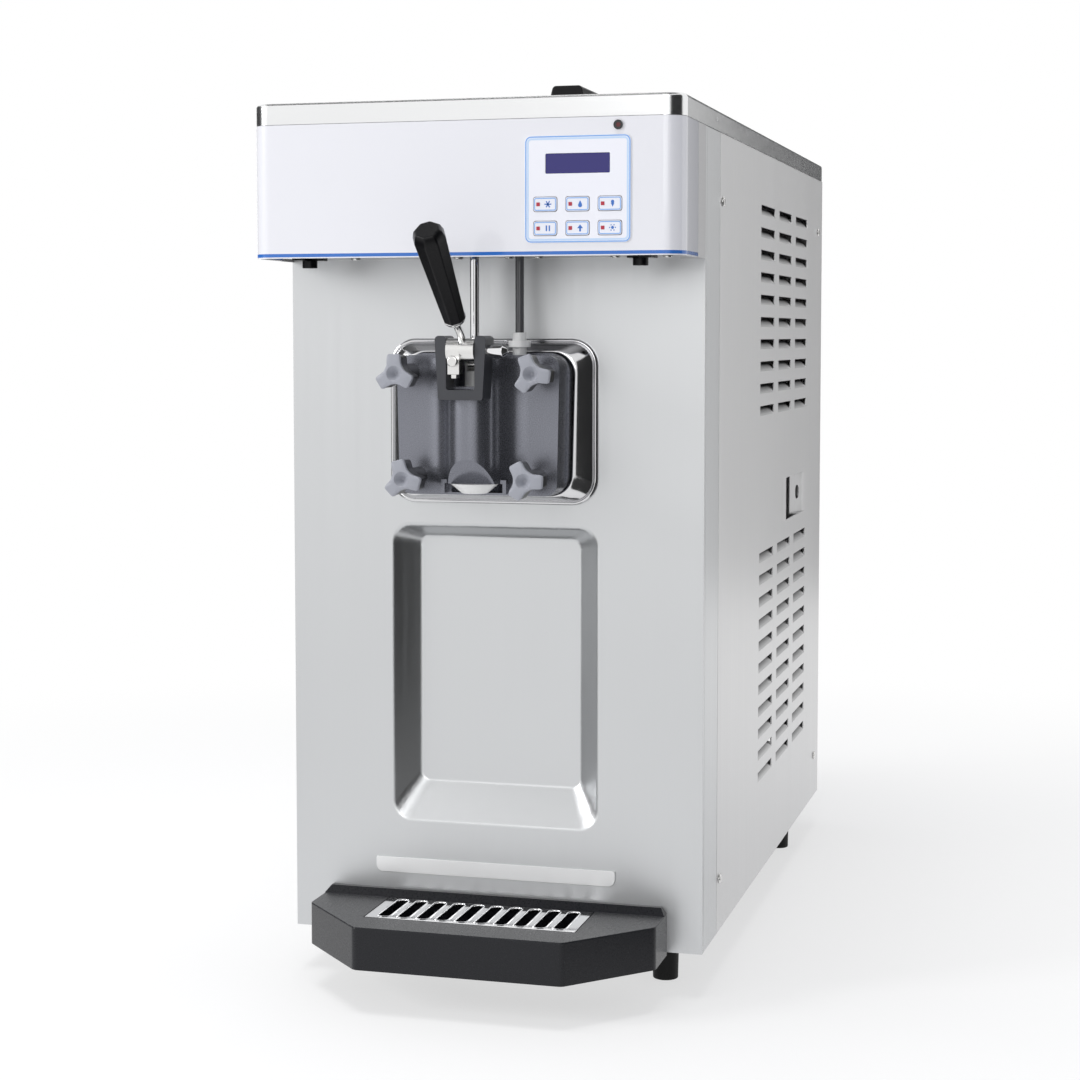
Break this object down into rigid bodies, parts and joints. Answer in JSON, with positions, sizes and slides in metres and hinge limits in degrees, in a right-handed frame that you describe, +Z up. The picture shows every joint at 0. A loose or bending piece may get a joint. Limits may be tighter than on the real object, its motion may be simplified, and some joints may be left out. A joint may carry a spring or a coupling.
{
  "type": "ice cream maker",
  "caption": "Countertop soft serve ice cream maker: steel cabinet with louvered sides, white header with keys and display, draw handle on a freezer door, drip tray, lift-off hopper lid.",
  "frame": {"origin": "middle of the footprint, on the counter", "axes": "+X to the machine's right seen from the front, -Y towards the user, +Z up"},
  "size_m": [0.354, 0.8544, 0.766],
  "materials": {
    "panel_steel": "satin stainless sheet, fine grain",
    "side_steel": "satin stainless sheet, coarser grain",
    "cap_steel": "bright polished stainless",
    "header_white": "glossy white with a blue line along the lower edge",
    "frame_grey": "folded sheet steel",
    "chrome": "mirror polished",
    "bright_steel": "turned and polished steel",
    "door_charcoal": "charcoal moulded plastic with a soft sheen",
    "knob_grey": "mid grey moulded plastic",
    "grip_black": "black moulded plastic",
    "tray_black": "black textured plastic",
    "white_plastic": "white food grade plastic",
    "overlay_film": "white film with blue outlines",
    "display": "dark blue display window",
    "lens_red": "dark red lens",
    "key_film": "white key caps with light blue outlines",
    "rubber": "black rubber",
    "foam": "cut foam",
    "motor_grey": "grey enamel",
    "compressor_black": "black enamel",
    "fin_aluminium": "plain fins",
    "board_green": "printed board"
  },
  "bodies": {
    "cabinet": {"front_panel": "panel_steel", "corner_posts": "panel_steel", "right_side_panel": "side_steel", "left_side_panel": "side_steel", "rear_panel": "side_steel", "base_pan": "frame_grey", "top_cap": "cap_steel", "header_shell": "header_white", "header_frame": "frame_grey", "header_clips": "grip_black", "cabinet_screws": "bright_steel", "control_overlay": "overlay_film", "display_window": "display", "indicator_lens": "lens_red", "control_board": "board_green", "door_bezel": "chrome", "freezer_door": "door_charcoal", "outlet_nozzle": "white_plastic", "door_seal": "rubber", "yoke": "door_charcoal", "pivot_pin": "chrome", "bleed_tube": "bright_steel", "bleed_fitting": "white_plastic", "tray_pins": "bright_steel", "drawer_guide": "frame_grey", "feet": "rubber", "power_gland": "grip_black", "hopper_tank": "bright_steel", "freezing_cylinder": "bright_steel", "insulation": "foam", "support_rails": "frame_grey", "gear_motor": "motor_grey", "compressor": "compressor_black", "condenser": "fin_aluminium", "fan_mount": "compressor_black"},
    "handle": {"draw_lever": "bright_steel", "adjusting_screw": "bright_steel", "handle_rod": "chrome", "handle_grip": "grip_black"},
    "piston": {"draw_piston": "white_plastic"},
    "switch_rod": {"push_rod": "chrome"},
    "tray": {"drip_tray": "tray_black"},
    "grid": {"drip_grid": "chrome"},
    "drawer": {"drip_drawer": "panel_steel"},
    "lid": {"hopper_lid": "tray_black", "lid_handle": "grip_black"},
    "feed": {"feed_tube": "white_plastic"},
    "scraper": {"beater": "white_plastic"},
    "blower": {"fan": "fin_aluminium"},
    "key_1": {"key_1": "key_film"},
    "key_2": {"key_2": "key_film"},
    "key_3": {"key_3": "key_film"},
    "key_4": {"key_4": "key_film"},
    "key_5": {"key_5": "key_film"},
    "key_6": {"key_6": "key_film"},
    "hand_screw_1": {"hand_screw_1": "knob_grey"},
    "hand_screw_2": {"hand_screw_2": "knob_grey"},
    "hand_screw_3": {"hand_screw_3": "knob_grey"},
    "hand_screw_4": {"hand_screw_4": "knob_grey"}
  },
  "joints": [
    {"name": "draw_handle_hinge", "type": "hinge", "parent": "cabinet", "child": "handle", "pos_m": [0, -0.32876, 0.5267], "axis": [1, 0, 0], "range_deg": [0, 36]},
    {"name": "draw_piston_slide", "type": "slide", "parent": "cabinet", "child": "piston", "axis": [0, 0, 1], "range_m": [0, 0.0204]},
    {"name": "switch_rod_slide", "type": "slide", "parent": "cabinet", "child": "switch_rod", "axis": [0, 0, 1], "range_m": [0, 0.0204]},
    {"name": "key_1_press", "type": "slide", "parent": "cabinet", "child": "key_1", "axis": [0, 1, 0], "range_m": [0, 0.001], "stiffness_N_per_m": 600},
    {"name": "key_2_press", "type": "slide", "parent": "cabinet", "child": "key_2", "axis": [0, 1, 0], "range_m": [0, 0.001], "stiffness_N_per_m": 600},
    {"name": "key_3_press", "type": "slide", "parent": "cabinet", "child": "key_3", "axis": [0, 1, 0], "range_m": [0, 0.001], "stiffness_N_per_m": 600},
    {"name": "key_4_press", "type": "slide", "parent": "cabinet", "child": "key_4", "axis": [0, 1, 0], "range_m": [0, 0.001], "stiffness_N_per_m": 600},
    {"name": "key_5_press", "type": "slide", "parent": "cabinet", "child": "key_5", "axis": [0, 1, 0], "range_m": [0, 0.001], "stiffness_N_per_m": 600},
    {"name": "key_6_press", "type": "slide", "parent": "cabinet", "child": "key_6", "axis": [0, 1, 0], "range_m": [0, 0.001], "stiffness_N_per_m": 600},
    {"name": "hand_screw_1_turn", "type": "hinge", "parent": "cabinet", "child": "hand_screw_1", "pos_m": [-0.0556, -0.30876, 0.5084], "axis": [0, -1, 0], "continuous": true},
    {"name": "hand_screw_2_turn", "type": "hinge", "parent": "cabinet", "child": "hand_screw_2", "pos_m": [0.0556, -0.30876, 0.5084], "axis": [0, -1, 0], "continuous": true},
    {"name": "hand_screw_3_turn", "type": "hinge", "parent": "cabinet", "child": "hand_screw_3", "pos_m": [-0.0497, -0.30876, 0.4255], "axis": [0, -1, 0], "continuous": true},
    {"name": "hand_screw_4_turn", "type": "hinge", "parent": "cabinet", "child": "hand_screw_4", "pos_m": [0.0497, -0.30876, 0.4255], "axis": [0, -1, 0], "continuous": true},
    {"name": "drip_tray_pull", "type": "slide", "parent": "cabinet", "child": "tray", "axis": [0, -1, 0], "range_m": [0, 0.12]},
    {"name": "drip_grid_lift", "type": "slide", "parent": "tray", "child": "grid", "axis": [0, 0, 1], "range_m": [0, 0.08]},
    {"name": "drip_drawer_pull", "type": "slide", "parent": "cabinet", "child": "drawer", "axis": [0, -1, 0], "range_m": [0, 0.24]},
    {"name": "hopper_lid_lift", "type": "slide", "parent": "cabinet", "child": "lid", "axis": [0, 0, 1], "range_m": [0, 0.15]},
    {"name": "feed_tube_lift", "type": "slide", "parent": "cabinet", "child": "feed", "axis": [0, 0, 1], "range_m": [0, 0.04]},
    {"name": "beater_spin", "type": "hinge", "parent": "cabinet", "child": "scraper", "pos_m": [0, -0.06376, 0.46675], "axis": [0, 1, 0], "continuous": true},
    {"name": "fan_spin", "type": "hinge", "parent": "cabinet", "child": "blower", "pos_m": [0, 0.31624, 0.1645], "axis": [0, 1, 0], "continuous": true}
  ],
  "couplings": [
    {"joint": "draw_piston_slide", "follows": "draw_handle_hinge", "m_per_rad": 0.032266},
    {"joint": "switch_rod_slide", "follows": "draw_handle_hinge", "m_per_rad": 0.032266}
  ]
}
